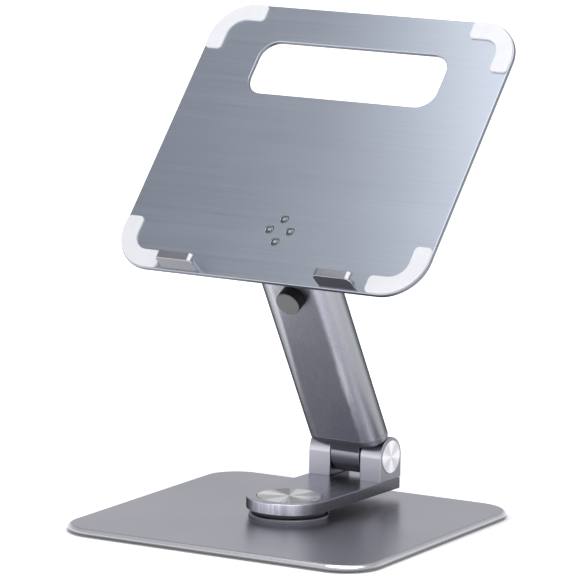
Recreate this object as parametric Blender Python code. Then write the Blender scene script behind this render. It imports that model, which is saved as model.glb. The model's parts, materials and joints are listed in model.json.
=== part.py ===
"""Folding swivel stand for tablets: brushed aluminium, free standing.

Four rigid groups: a base plate on the desk, a swivel foot with two hinge
ears, an arm, and a support panel with two hooks.  All lengths below are in
millimetres and are turned into metres when a mesh is made.  +Z is up, -Y is
the front, and the origin is the centre of the underside of the desk pad.
"""
import math

import bmesh
import bpy
from mathutils import Matrix, Vector

# ------------------------------------------------------------ dimensions
MM = 0.001
GAP = 0.3                       # air between pieces that rest on each other
FACETS = 0.62                   # share of the full facet count used on turned pieces

BASE_W, BASE_D, BASE_R = 190.0, 181.7, 22.0
PAD_T = 0.7                     # anti-slip pad under the base
BASE_Z0, BASE_Z1 = 1.0, 4.3     # base plate, underside and top
BASE_CHAMFER = 2.2              # polished edge all round

SWIVEL_YAW = -2.3               # degrees the foot is turned on the base
BOSS_R, BOSS_Z0, BOSS_Z1 = 22.0, 4.0, 6.8
BOSS_SCREW_PCD = 15.0           # radius of the three screws under the boss
BOLT_R = 4.0

FOOT_R, FOOT_Z0, FOOT_Z1 = 23.4, 9.2, 15.58
FOOT_BACK = 79.0                # rear end of the foot behind the pivot
DISC_R = 17.85

LOW_Y, LOW_Z = 68.0, 28.56      # lower hinge axis
EAR_R, EAR_IN, EAR_OUT = 11.0, 9.6, 23.4
CAP_R = 9.37
PIN_R = 4.0
KNUCKLE_R, KNUCKLE_HALF = 11.0, 9.2
WASHER_IN = 8.0                 # floor of the washer pockets in the knuckle's ends

ARM_LEAN = 29.8                 # degrees forward of vertical, at rest
ARM_W, ARM_T, ARM_FLAT = 48.0, 20.0, 24.0   # arm section: flat faces, half-oval sides
ARM_START = 16.7                # lower end of the arm shell above the lower hinge
ARM_LEN = 143.2                 # lower hinge axis to upper hinge axis
FORK_HALF = 10.2                # half the gap between the arm's two cheeks
BUMPER_AT, BUMPER_R, BUMPER_H = 117.0, 7.1, 7.4

PANEL_LEAN = 40.2               # degrees the panel leans back of vertical
PANEL_W, PANEL_H, PANEL_T, PANEL_R = 193.9, 175.0, 2.6, 24.0
PANEL_FRONT = 14.87             # front face ahead of the upper hinge axis
PANEL_DOWN = 31.28              # bottom edge below the upper hinge axis
SLOT_W, SLOT_H, SLOT_R, SLOT_AT = 119.6, 34.4, 11.0, 134.7
SCREWS_AT = 32.4                # centre of the four bracket screws
HOOK_X, HOOK_W, HOOK_OUT, HOOK_TOP, HOOK_SCREW = 49.75, 23.4, 11.5, 5.9, 1.9
CORNER_LEG, CORNER_BAND, CORNER_T = 31.2, 10.4, 1.1


# ------------------------------------------------------------ mesh helpers
def clear_scene():
    for o in list(bpy.data.objects):
        bpy.data.objects.remove(o, do_unlink=True)


def material(name, rgb, rough, metal):
    m = bpy.data.materials.new(name)
    m.use_nodes = True
    b = m.node_tree.nodes["Principled BSDF"]
    b.inputs["Base Color"].default_value = (*rgb, 1.0)
    b.inputs["Roughness"].default_value = rough
    b.inputs["Metallic"].default_value = metal
    m.diffuse_color = (*rgb, 1.0)
    return m


def circle(r, n, cx=0.0, cy=0.0):
    return [(cx + r * math.cos(2 * math.pi * k / n), cy + r * math.sin(2 * math.pi * k / n))
            for k in range(n)]


def round_rect(w, d, r, seg, inset=0.0, cx=0.0, cy=0.0):
    hx, hy, r = w / 2 - inset, d / 2 - inset, max(r - inset, 0.05)
    pts = []
    for sx, sy, a0 in ((1, 1, 0), (-1, 1, 90), (-1, -1, 180), (1, -1, 270)):
        for k in range(seg + 1):
            a = math.radians(a0 + 90.0 * k / seg)
            pts.append((cx + sx * (hx - r) + r * math.cos(a), cy + sy * (hy - r) + r * math.sin(a)))
    return pts


def stadium(w, t, seg, inset=0.0):
    """Section of the arm: flat front and back, half-oval sides; w along x, t along y."""
    c = ARM_FLAT / 2
    a, r = w / 2 - c - inset, t / 2 - inset
    pts = []
    for s, a0 in ((1, -90), (-1, 90)):
        for k in range(seg + 1):
            q = math.radians(a0 + 180.0 * k / seg)
            pts.append((s * c + a * math.cos(q), r * math.sin(q)))
    return pts


def loft(rings):
    """Closed solid through rings of equal length, each a list of (x, y, z)."""
    bm = bmesh.new()
    rows = [[bm.verts.new(p) for p in ring] for ring in rings]
    n = len(rows[0])
    for a, b in zip(rows, rows[1:]):
        for k in range(n):
            bm.faces.new((a[k], a[(k + 1) % n], b[(k + 1) % n], b[k]))
    bm.faces.new(list(reversed(rows[0])))
    bm.faces.new(rows[-1])
    bmesh.ops.recalc_face_normals(bm, faces=bm.faces)
    return bm


def stack(shape, steps):
    """Rings of shape(inset) at heights: steps is [(z, inset), ...]."""
    return loft([[(x, y, z) for x, y in shape(i)] for z, i in steps])


def lathe(profile, n=32):
    """Body of revolution about Z from a closed (radius, height) outline."""
    n = 2 * max(5, round(n * FACETS / 2))
    bm = bmesh.new()
    rows = []
    for r, h in profile:
        if r < 1e-9:
            rows.append([bm.verts.new((0, 0, h))])
        else:
            rows.append([bm.verts.new((r * math.cos(2 * math.pi * k / n),
                                       r * math.sin(2 * math.pi * k / n), h)) for k in range(n)])
    for a, b in zip(rows, rows[1:] + rows[:1]):
        if len(a) == 1 and len(b) == 1:
            continue
        for k in range(n):
            j = (k + 1) % n
            if len(a) == 1:
                bm.faces.new((a[0], b[j], b[k]))
            elif len(b) == 1:
                bm.faces.new((a[k], a[j], b[0]))
            else:
                bm.faces.new((a[k], a[j], b[j], b[k]))
    bmesh.ops.recalc_face_normals(bm, faces=bm.faces)
    return bm


def rod(r, z0, z1, n=24, c0=0.0, c1=0.0):
    """Solid cylinder with an optional chamfer at each end."""
    p = [(0, z0), (r - c0, z0)]
    if c0:
        p.append((r, z0 + c0))
    if c1:
        p.append((r, z1 - c1))
    p += [(r - c1, z1), (0, z1)]
    return lathe(p, n)


def ring(ri, ro, z0, z1, n=32, c=0.0):
    p = [(ri, z0), (ro - c, z0), (ro, z0 + c), (ro, z1 - c), (ro - c, z1), (ri, z1)] if c else \
        [(ri, z0), (ro, z0), (ro, z1), (ri, z1)]
    return lathe(p, n)


def bore(steps, n=32):
    """Cutter for a stepped hole: steps is [(radius, height), ...] upwards."""
    return lathe([(0, steps[0][1])] + steps + [(0, steps[-1][1])], n)


def box(x0, x1, y0, y1, z0, z1):
    return loft([[(x0, y0, z), (x1, y0, z), (x1, y1, z), (x0, y1, z)] for z in (z0, z1)])


def turn(bm, axis):
    """Point a solid that was made along +Z along another axis."""
    if axis == "x":
        m = Matrix(((0, 0, 1, 0), (1, 0, 0, 0), (0, 1, 0, 0), (0, 0, 0, 1)))
    elif axis == "-x":
        m = Matrix(((0, 0, -1, 0), (-1, 0, 0, 0), (0, 1, 0, 0), (0, 0, 0, 1)))
    elif axis == "y":
        m = Matrix(((0, 1, 0, 0), (0, 0, 1, 0), (1, 0, 0, 0), (0, 0, 0, 1)))
    elif axis == "-y":
        m = Matrix(((1, 0, 0, 0), (0, 0, -1, 0), (0, 1, 0, 0), (0, 0, 0, 1)))
    bmesh.ops.transform(bm, matrix=m, verts=bm.verts)
    bmesh.ops.recalc_face_normals(bm, faces=bm.faces)
    return bm


def shift(bm, x=0.0, y=0.0, z=0.0):
    bmesh.ops.translate(bm, vec=(x, y, z), verts=bm.verts)
    return bm


def to_mesh(name, bm):
    me = bpy.data.meshes.new(name)
    bmesh.ops.scale(bm, vec=(MM, MM, MM), verts=bm.verts)
    bm.to_mesh(me)
    bm.free()
    me.shade_smooth()
    me.set_sharp_from_angle(angle=math.radians(32))
    return me


def add(name, bm_or_mesh, mat, parent, at=(0, 0, 0), rot=(0, 0, 0)):
    me = bm_or_mesh if isinstance(bm_or_mesh, bpy.types.Mesh) else to_mesh(name, bm_or_mesh)
    o = bpy.data.objects.new(name, me)
    bpy.context.scene.collection.objects.link(o)
    if not me.materials:
        me.materials.append(mat)
    o.parent = parent
    o.location = [v * MM for v in at]
    o.rotation_euler = [math.radians(v) for v in rot]
    return o


def tool(target, bm, how):
    """Cut a shape from, or fuse a shape to, an object."""
    t = add("tool_%s_%d" % (target.name, len(target.modifiers)), bm, target.data.materials[0],
            target.parent, [v / MM for v in target.location],
            [math.degrees(v) for v in target.rotation_euler])
    t.hide_render = True
    t.display_type = "WIRE"
    m = target.modifiers.new(how.lower(), "BOOLEAN")
    m.operation = how
    m.solver = "EXACT"
    m.object = t
    return t


def cut(target, bm):
    return tool(target, bm, "DIFFERENCE")


def fuse(target, bm):
    return tool(target, bm, "UNION")


def empty(name, parent=None, at=(0, 0, 0), rot=(0, 0, 0)):
    e = bpy.data.objects.new(name, None)
    bpy.context.scene.collection.objects.link(e)
    e.parent = parent
    e.location = [v * MM for v in at]
    e.rotation_euler = [math.radians(v) for v in rot]
    return e


clear_scene()

# ------------------------------------------------------------ materials
ALU_GREY = material("base_anodised", (0.34, 0.33, 0.36), 0.35, 1.0)
ALU_PANEL = material("panel_anodised", (0.40, 0.43, 0.48), 0.38, 1.0)
ALU_LIGHT = material("ear_anodised", (0.55, 0.55, 0.60), 0.35, 1.0)
ALU_ARM = material("arm_anodised", (0.30, 0.31, 0.34), 0.35, 1.0)
DISC = material("turned_aluminium", (0.80, 0.80, 0.82), 0.22, 1.0)
STEEL = material("fastener_steel", (0.55, 0.55, 0.56), 0.30, 1.0)
SILICONE = material("white_silicone", (0.86, 0.86, 0.88), 0.60, 0.0)
RUBBER = material("grey_silicone", (0.12, 0.12, 0.13), 0.75, 0.0)
NYLON = material("black_nylon", (0.03, 0.03, 0.035), 0.55, 0.0)

# ------------------------------------------------------------ joint frames
base_axis = empty("axis_base")
swivel = empty("axis_swivel", base_axis, rot=(0, 0, SWIVEL_YAW))
low = empty("axis_lower_hinge", swivel, at=(0, LOW_Y, LOW_Z))
arm = empty("axis_arm", low, rot=(ARM_LEAN, 0, 0))
up = empty("axis_upper_hinge", arm, at=(0, 0, ARM_LEN), rot=(-ARM_LEAN, 0, 0))
tilt = empty("axis_panel", up, rot=(-PANEL_LEAN, 0, 0))

# ------------------------------------------------------------ base group
add("base_antislip_pad",
    stack(lambda i: round_rect(BASE_W - 7, BASE_D - 7, BASE_R - 3.5, 5, i), [(0, 0), (PAD_T, 0)]),
    RUBBER, base_axis)

c = BASE_CHAMFER
base = add("base_plate",
           stack(lambda i: round_rect(BASE_W, BASE_D, BASE_R, 8, i),
                 [(BASE_Z0, 0.4), (BASE_Z0 + 0.4, 0.0), (BASE_Z1 - c, 0.0),
                  (BASE_Z1 - 0.3 * c, 0.55 * c), (BASE_Z1, 1.05 * c)]),
           ALU_GREY, base_axis)
cut(base, bore([(7.4, -1), (7.4, 2.7), (BOLT_R + 0.3, 2.7), (BOLT_R + 0.3, 3.7),
                (BOSS_R + 0.35, 3.7), (BOSS_R + 0.35, 8)], 64))
boss = add("swivel_boss",
           lathe([(BOLT_R + 0.3, BOSS_Z0), (BOSS_R, BOSS_Z0), (BOSS_R, BOSS_Z1 - 0.6),
                  (BOSS_R - 0.6, BOSS_Z1), (BOLT_R + 0.3, BOSS_Z1)], 64), ALU_GREY, base_axis)
screw_me = to_mesh("boss_screw", lathe([(0, 1.05), (2.9, 1.05), (2.9, 1.25), (1.5, 2.6),
                                        (1.5, 5.9), (0, 5.9)], 16))
for k, deg in enumerate((90, 210, 330), 1):
    x, y = BOSS_SCREW_PCD * math.cos(math.radians(deg)), BOSS_SCREW_PCD * math.sin(math.radians(deg))
    cut(base, shift(lathe([(0, -1), (3.3, -1), (3.3, 1.5), (1.8, 2.95), (1.8, 6), (0, 6)], 16), x, y))
    cut(boss, shift(rod(1.8, 3, 6.2, 16), x, y))
    add("boss_screw_%d" % k, screw_me, STEEL, base_axis, at=(x, y, 0))
add("pivot_bolt", lathe([(0, 1.05), (6.8, 1.05), (7.0, 1.25), (7.0, 2.4), (BOLT_R, 2.4),
                         (BOLT_R, 13.7), (BOLT_R - 0.3, 14.0), (0, 14.0)], 32), STEEL, base_axis)
add("swivel_washer", ring(BOLT_R + 0.3, 20.2, 7.1, 8.9, 48, 0.2), NYLON, base_axis)
add("pivot_spring_washer", ring(BOLT_R + 0.3, 9.5, 11.3, 11.9, 32), STEEL, base_axis)
nut = add("pivot_nut", ring(BOLT_R + 0.3, 10.0, 12.2, 13.9, 32, 0.25), STEEL, base_axis)
for s in (1, -1):
    cut(nut, shift(box(-1.2, 1.2, -2, 2, 11, 13.0), 0, s * 10.2))

# ------------------------------------------------------------ swivel foot
def foot_outline(i, seg=26, rc=2.0):
    r, xb, yb = FOOT_R - i, FOOT_R - i, FOOT_BACK - i
    pts = [(r * math.cos(math.radians(180 + 180.0 * k / seg)), r * math.sin(math.radians(180 + 180.0 * k / seg)))
           for k in range(seg + 1)]
    rr = max(rc - i, 0.3)
    for sx, a0 in ((1, 0), (-1, 90)):
        for k in range(3):
            a = math.radians(a0 + 90.0 * k / 2)
            pts.append((sx * (xb - rr) + rr * math.cos(a), yb - rr + rr * math.sin(a)))
    return pts


foot = add("foot_plate", stack(foot_outline, [(FOOT_Z0, 0.4), (FOOT_Z0 + 0.4, 0), (FOOT_Z1 - 0.6, 0), (FOOT_Z1, 0.6)]), ALU_LIGHT, swivel)
cut(foot, bore([(BOLT_R + 0.35, 5), (BOLT_R + 0.35, 11.0), (12.0, 11.0), (12.0, 14.0),
                (DISC_R + 0.35, 14.0), (DISC_R + 0.35, 20)], 64))
add("foot_disc_cap", rod(DISC_R, 14.3, FOOT_Z1 + 0.2, 64, 0, 0.35), DISC, swivel)

ear_screw = to_mesh("ear_screw", lathe([(0, 9.5), (3.0, 9.5), (3.0, 9.7), (1.4, 11.4),
                                        (1.4, 21.4), (0, 21.4)], 16))


def ear_profile(i, seg=12):
    """Side view of an ear: straight up from the foot, half round on top."""
    r = EAR_R - i
    pts = [(LOW_Y - r, FOOT_Z1 + GAP + i), (LOW_Y + r, FOOT_Z1 + GAP + i)]
    pts += [(LOW_Y + r * math.cos(math.pi * k / seg), LOW_Z + r * math.sin(math.pi * k / seg))
            for k in range(seg + 1)]
    return pts


n_screw = 0
for side, s in (("left", -1), ("right", 1)):
    a, b = s * EAR_IN, s * EAR_OUT
    e = add("hinge_ear_" + side,
            loft([[(x, y, z) for y, z in ear_profile(i)]
                  for x, i in ((a, 0.7), (a + s * 0.7, 0.0), (b - s * 0.7, 0.0), (b, 0.7))]),
            ALU_LIGHT, swivel)
    ax = "x" if s > 0 else "-x"
    cut(e, shift(turn(bore([(PIN_R + 0.3, 5), (PIN_R + 0.3, 17.0), (7.6, 17.0), (7.6, 21.3),
                            (CAP_R + 0.32, 21.3), (CAP_R + 0.32, 30)], 48), ax), 0, LOW_Y, LOW_Z))
    for y in (LOW_Y - 6.6, LOW_Y + 6.6):
        n_screw += 1
        x = s * 14.4
        cut(e, shift(rod(1.7, 14, 21.7, 16), x, y))
        cut(foot, shift(lathe([(0, 8), (3.4, 8), (3.4, 9.9), (1.8, 11.6), (1.8, 18), (0, 18)], 16), x, y))
        add("ear_screw_%d" % n_screw, ear_screw, STEEL, swivel, at=(x, y, 0))
    add("lower_cap_" + side, turn(rod(CAP_R, 21.6, EAR_OUT + 0.2, 48, 0, 0.35), ax), DISC, swivel,
        at=(0, LOW_Y, LOW_Z))
add("lower_hinge_pin", turn(lathe([(0, -20.9), (7.0, -20.9), (7.0, -17.3), (PIN_R, -17.3),
                                   (PIN_R, 20.6), (PIN_R - 0.3, 20.9), (0, 20.9)], 24), "x"),
    STEEL, swivel, at=(0, LOW_Y, LOW_Z))
add("lower_spring_washer", turn(ring(PIN_R + 0.3, 7.0, 17.3, 18.1, 24), "x"), STEEL, swivel,
    at=(0, LOW_Y, LOW_Z))
hexa = loft([[(x, y, z) for x, y in circle(6.9, 6)] for z in (18.4, 20.7)])
hn = add("lower_hinge_nut", turn(hexa, "x"), STEEL, swivel, at=(0, LOW_Y, LOW_Z))
cut(hn, turn(rod(PIN_R + 0.3, 17, 22, 24), "x"))

# ------------------------------------------------------------ arm
CAVITY_W, CAVITY_T = ARM_W - 5.4, ARM_T - 5.4


def knuckle_profile(i, seg=20, neck=8.0):
    """Side view of the knuckle: a drum round the hinge axis, with a neck up to the flange."""
    r = KNUCKLE_R - i
    a0 = math.acos((neck - i) / r)
    a = [math.pi - a0 + (math.pi + 2 * a0) * k / seg for k in range(seg + 1)]
    return [(r * math.cos(q), r * math.sin(q)) for q in a] + [(neck - i, 14.0), (i - neck, 14.0)]


block = add("arm_lower_block",
            loft([[(x, y, z) for y, z in knuckle_profile(i)]
                  for x, i in ((-KNUCKLE_HALF, 0.5), (-KNUCKLE_HALF + 0.5, 0), (KNUCKLE_HALF - 0.5, 0),
                               (KNUCKLE_HALF, 0.5))]), ALU_ARM, arm)
fuse(block, stack(lambda i: stadium(ARM_W, ARM_T, 10, i),
                  [(12.3, 1.3), (12.7, 0.5), (13.5, 0.0), (ARM_START - GAP, 0.0)]))
fuse(block, stack(lambda i: stadium(CAVITY_W, CAVITY_T, 6, i), [(15.5, 0.35), (33.0, 0.35)]))
for ax in ("x", "-x"):
    cut(block, turn(bore([(PIN_R + 0.3, -1), (PIN_R + 0.3, WASHER_IN), (8.75, WASHER_IN), (8.75, 12)], 32), ax))


def arm_ring(z, inset=0.0, seg=10):
    return [(x, y, z) for x, y in stadium(ARM_W, ARM_T, seg, inset)]


shell = add("arm_shell", loft([arm_ring(ARM_START, 0.35), arm_ring(ARM_START + 0.35),
                               arm_ring(ARM_LEN + ARM_T / 2)]), ALU_ARM, arm)
cut(shell, stack(lambda i: stadium(CAVITY_W, CAVITY_T, 6, i), [(10, 0), (106, 0), (109, 2.5)]))
# half-round top of the two cheeks, about the upper hinge axis
top = loft([[(x, y, z + ARM_LEN) for y, z in
             [(ARM_T / 2 * math.cos(math.pi * k / 14), ARM_T / 2 * math.sin(math.pi * k / 14)) for k in range(15)]
             + [(-ARM_T / 2 - 5, 0), (-ARM_T / 2 - 5, 20), (ARM_T / 2 + 5, 20), (ARM_T / 2 + 5, 0)]]
            for x in (-30, 30)])
cut(shell, top)
cut(shell, box(-FORK_HALF, FORK_HALF, -20, 20, ARM_LEN - 9.8, ARM_LEN + 20))
cut(shell, box(-FORK_HALF, FORK_HALF, -1.5, 20, ARM_LEN - 16.0, ARM_LEN + 20))
for ax in ("x", "-x"):
    cut(shell, shift(turn(bore([(3.3, 5), (3.3, 15.2), (5.9, 15.2), (5.9, 19.4), (7.7, 19.4), (7.7, 30)],
                               36), ax), 0, 0, ARM_LEN))
cut(shell, shift(turn(rod(3.2, ARM_T / 2 - 3.6, 20, 20), "-y"), 0, 0, BUMPER_AT))
add("arm_bumper", turn(lathe([(0, 6.9), (2.9, 6.9), (2.9, ARM_T / 2 + GAP), (BUMPER_R, ARM_T / 2 + GAP),
                              (BUMPER_R, ARM_T / 2 + BUMPER_H - 0.8), (BUMPER_R - 0.8, ARM_T / 2 + BUMPER_H),
                              (0, ARM_T / 2 + BUMPER_H)], 40), "-y"), RUBBER, arm, at=(0, 0, BUMPER_AT))
blk_screw = to_mesh("arm_screw", turn(lathe([(0, 3.2), (1.4, 3.2), (1.4, 8.4), (2.8, 9.8),
                                             (0, 9.8)], 16), "y"))
for k, s in enumerate((-1, 1), 1):
    cut(shell, shift(turn(lathe([(0, 6.0), (1.7, 6.0), (1.7, 8.3), (3.1, 9.7), (3.1, 12), (0, 12)], 16), "y"),
                     s * 8.0, 0, 25.0))
    cut(block, shift(turn(rod(1.7, 2.9, 12, 16), "y"), s * 8.0, 0, 25.0))
    add("arm_screw_%d" % k, blk_screw, STEEL, arm, at=(s * 8.0, 0, 25.0))
for side, s in (("left", "-x"), ("right", "x")):
    add("lower_friction_washer_" + side, turn(ring(PIN_R + 0.3, 8.4, WASHER_IN + GAP, EAR_IN - GAP, 32), s),
        NYLON, arm)
    add("upper_friction_washer_" + side, turn(ring(3.3, 8.2, 8.9, FORK_HALF - GAP, 32), s),
        NYLON, arm, at=(0, 0, ARM_LEN))
    add("upper_cap_" + side, turn(rod(7.35, 19.7, 21.2, 36, 0, 0.4), s), DISC, arm, at=(0, 0, ARM_LEN))
add("upper_hinge_pin", turn(lathe([(0, -19.1), (5.5, -19.1), (5.5, -15.5), (3.0, -15.5),
                                   (3.0, 18.9), (2.8, 19.1), (0, 19.1)], 24), "x"),
    STEEL, arm, at=(0, 0, ARM_LEN))
add("upper_spring_washer", turn(ring(3.3, 5.5, 15.5, 16.2, 24), "x"), STEEL, arm, at=(0, 0, ARM_LEN))
hn = add("upper_hinge_nut", turn(loft([[(x, y, z) for x, y in circle(5.5, 6)] for z in (16.5, 18.9)]), "x"),
         STEEL, arm, at=(0, 0, ARM_LEN))
cut(hn, turn(rod(3.3, 15, 20, 24), "x"))

# ------------------------------------------------------------ panel
# In this group's frame -y is out of the panel's front, z runs up the panel,
# and the upper hinge axis is at the origin.
FRONT = -PANEL_FRONT
BACK = -PANEL_FRONT + PANEL_T
T0 = -PANEL_DOWN                # bottom edge
PF = PANEL_FRONT


def standing(pts, y):
    return [(x, y, z) for x, z in pts]


def plate_outline(i, seg=8):
    return round_rect(PANEL_W, PANEL_H, PANEL_R, seg, i, 0, T0 + PANEL_H / 2)


panel = add("panel_plate", loft([standing(plate_outline(i), y) for y, i in
                                 ((FRONT, 0.55), (FRONT + 0.55, 0.0), (BACK - 0.3, 0.0), (BACK, 0.3))]),
            ALU_PANEL, tilt)
slot_z = T0 + SLOT_AT


def slot_outline(i):
    return round_rect(SLOT_W, SLOT_H, SLOT_R, 6, i, 0, slot_z)


cut(panel, loft([standing(slot_outline(i), y) for y, i in
                 ((FRONT - 1.5, -2.0), (FRONT + 0.5, 0.0), (BACK - 0.3, 0.0), (BACK + 1.7, -2.0))]))

screw_z = T0 + SCREWS_AT
bracket = add("panel_bracket", box(-8.6, 8.6, BACK + GAP, BACK + 3.3, screw_z - 10, screw_z + 10), ALU_ARM, tilt)
fuse(bracket, turn(rod(8.8, -8.5, 8.5, 32, 0.4, 0.4), "x"))
fuse(bracket, loft([[(x, y, z) for y, z in ((BACK + 2.0, -7.0), (BACK + 2.0, 10.5), (-7.4, 10.5), (-2.0, 8.0),
                                            (0.0, 0.0), (-4.0, -5.0))] for x in (-8.3, 8.3)]))
cut(bracket, turn(rod(3.3, -12, 12, 24), "x"))
p_screw = to_mesh("panel_screw", turn(lathe([(0, PF - 5.1), (1.1, PF - 5.1), (1.1, PF - 1.6), (2.4, PF - 0.55),
                                             (2.4, PF - 0.35), (1.95, PF - 0.05), (1.0, PF + 0.12), (0, PF + 0.15)], 20),
                                      "-y"))
for k, (x, z) in enumerate(((0, 7.2), (-6.5, 0), (6.5, 0), (0, -7.2)), 1):
    cut(panel, shift(turn(lathe([(0, PF - 4.2), (1.4, PF - 4.2), (1.4, PF - 1.35), (2.75, PF - 0.3),
                                  (2.75, PF + 1.8), (0, PF + 1.8)], 20), "-y"), x, 0, screw_z + z))
    cut(bracket, shift(turn(rod(1.4, PF - 5.3, PF - 1.2, 16), "-y"), x, 0, screw_z + z))
    add("panel_screw_%d" % k, p_screw, STEEL, tilt, at=(x, 0, screw_z + z))

# hooks along the lower edge: a shelf, a lip, and a tongue through the plate

def hook_plan(i, depth, seg=3, r=3.0):
    """Plan of a hook seen along the panel: square at the root, round corners at the lip."""
    hw = HOOK_W / 2 - i
    rr = max(r - i, 0.4)
    y1 = FRONT - depth + i
    pts = [(hw, FRONT - GAP), (-hw, FRONT - GAP)]
    for sx, a0 in ((-1, 180), (1, 270)):
        for k in range(seg + 1):
            a = math.radians(a0 + 90.0 * k / seg)
            pts.append((sx * (hw - rr) + rr * math.cos(a), y1 + rr + rr * math.sin(a)))
    return pts


h_screw = to_mesh("hook_screw", turn(lathe([(0, -PF - 3.7), (0.6, -PF - 3.7), (0.6, 1.35 - PF),
                                            (1.5, 2.1 - PF), (1.5, 2.45 - PF), (0, 2.45 - PF)], 16), "y"))
n_screw = 0
for side, s in (("left", -1), ("right", 1)):
    hx = s * HOOK_X
    h = add("hook_" + side,
            loft([[(x, y, T0 + t) for x, y in hook_plan(i, HOOK_OUT)]
                  for t, i in ((0.8, 0.5), (1.3, 0.0), (HOOK_TOP - 0.6, 0.0), (HOOK_TOP, 0.55))]),
            ALU_PANEL, tilt, at=(hx, 0, 0))
    # the channel the tablet's edge stands in: open at both ends and on top
    cut(h, box(-20, 20, FRONT - HOOK_OUT + 2.3, FRONT + 5, T0 + 3.0, T0 + 12))
    fuse(h, box(-9.5, 9.5, FRONT - 3.4, FRONT - GAP, T0 + 2.0, T0 + 3.4))
    for x in (-6.0, 6.0):
        n_screw += 1
        cut(h, shift(turn(rod(0.85, -PF - 4, 1.2 - PF, 16), "y"), x, 0, T0 + HOOK_SCREW))
        cut(panel, shift(turn(lathe([(0, -PF - 5.8), (0.9, -PF - 5.8), (0.9, 1.1 - PF), (1.85, 1.9 - PF),
                                      (1.85, 5.2 - PF), (0, 5.2 - PF)], 16), "y"), hx + x, 0, T0 + HOOK_SCREW))
        add("hook_screw_%d" % n_screw, h_screw, STEEL, tilt, at=(hx + x, 0, T0 + HOOK_SCREW))
    add("hook_pad_" + side, box(-9.3, 9.3, FRONT - 8.9, FRONT - 3.7, T0 + 3.3, T0 + 4.1), RUBBER, tilt,
        at=(hx, 0, 0))


def corner_outline(i, seg=8, end_seg=2):
    """L-shaped band round the corner at (0, 0), legs along +x and +z."""
    o, w, leg = 0.6 + i, CORNER_BAND + 0.6 - i, CORNER_LEG - i
    ro, ri, re = PANEL_R - o, 10.0 + i, max(2.6 - i, 0.4)
    pts = []

    def arc(cx, cz, r, a0, a1, n):
        for k in range(n + 1):
            a = math.radians(a0 + (a1 - a0) * k / n)
            pts.append((cx + r * math.cos(a), cz + r * math.sin(a)))

    arc(o + ro, o + ro, ro, 180, 270, seg)                  # outer corner
    arc(leg - re, o + re, re, 270, 360, end_seg)            # end of the leg along x
    arc(leg - re, w - re, re, 0, 90, end_seg)
    arc(w + ri, w + ri, ri, 270, 180, seg - 2)              # inner corner
    arc(w - re, leg - re, re, 0, 90, end_seg)               # end of the leg along z
    arc(o + re, leg - re, re, 90, 180, end_seg)
    return pts


for name, sx, sz in (("bottom_left", 1, 1), ("bottom_right", -1, 1), ("top_left", 1, -1), ("top_right", -1, -1)):
    x0 = -sx * PANEL_W / 2
    z0 = T0 if sz > 0 else T0 + PANEL_H
    add("corner_pad_" + name,
        loft([[(x0 + sx * x, y, z0 + sz * z) for x, z in corner_outline(i)]
              for y, i in ((FRONT - GAP, 0.0), (FRONT - GAP - CORNER_T + 0.35, 0.0), (FRONT - GAP - CORNER_T, 0.3))]),
        SILICONE, tilt)

bpy.context.view_layer.update()
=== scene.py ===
"""Looks of the folding tablet stand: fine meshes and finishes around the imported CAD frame."""
import json
import math

import bmesh
import bpy
from mathutils import Matrix, Vector


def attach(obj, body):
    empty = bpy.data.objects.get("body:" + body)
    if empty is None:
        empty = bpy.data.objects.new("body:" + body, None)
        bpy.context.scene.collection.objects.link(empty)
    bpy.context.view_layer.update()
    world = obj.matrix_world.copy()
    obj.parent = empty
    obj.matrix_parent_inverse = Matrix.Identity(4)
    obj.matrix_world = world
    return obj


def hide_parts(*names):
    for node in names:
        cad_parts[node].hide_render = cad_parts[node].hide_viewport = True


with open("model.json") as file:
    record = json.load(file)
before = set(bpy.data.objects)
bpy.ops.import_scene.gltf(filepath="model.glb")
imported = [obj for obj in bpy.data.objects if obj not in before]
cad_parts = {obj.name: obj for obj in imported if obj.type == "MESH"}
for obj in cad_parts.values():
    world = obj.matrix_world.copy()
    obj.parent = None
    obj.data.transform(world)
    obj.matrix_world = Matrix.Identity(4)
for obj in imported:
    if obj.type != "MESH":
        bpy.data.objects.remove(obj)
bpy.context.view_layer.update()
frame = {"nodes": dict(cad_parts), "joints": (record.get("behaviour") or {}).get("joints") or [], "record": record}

MM = 0.001
GAP = 0.3
scene = bpy.context.scene
BODY = {n: b for b, ns in frame["record"]["behaviour"]["bodies"].items() for n in ns}

# ------------------------------------------------------------ places, from the frame
joints = {j["name"]: j for j in frame["joints"]}
ax = Vector(joints["arm_pivot"]["axis"])
YAW = math.atan2(ax.y, ax.x)
LOW = Vector(joints["arm_pivot"]["pos_m"])
UP = Vector(joints["panel_tilt"]["pos_m"])
link = UP - LOW
ARM_LEN = link.length / MM
ARM_LEAN = math.atan2(math.hypot(link.x, link.y), link.z)
PANEL_LEAN = math.radians(40.2)

M_BASE = Matrix.Identity(4)
M_FOOT = Matrix.Rotation(YAW, 4, "Z")
M_LOW = Matrix.Translation(LOW) @ M_FOOT
M_ARM = M_LOW @ Matrix.Rotation(ARM_LEAN, 4, "X")
M_UP = Matrix.Translation(UP) @ M_FOOT
M_PANEL = M_UP @ Matrix.Rotation(-PANEL_LEAN, 4, "X")

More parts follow.
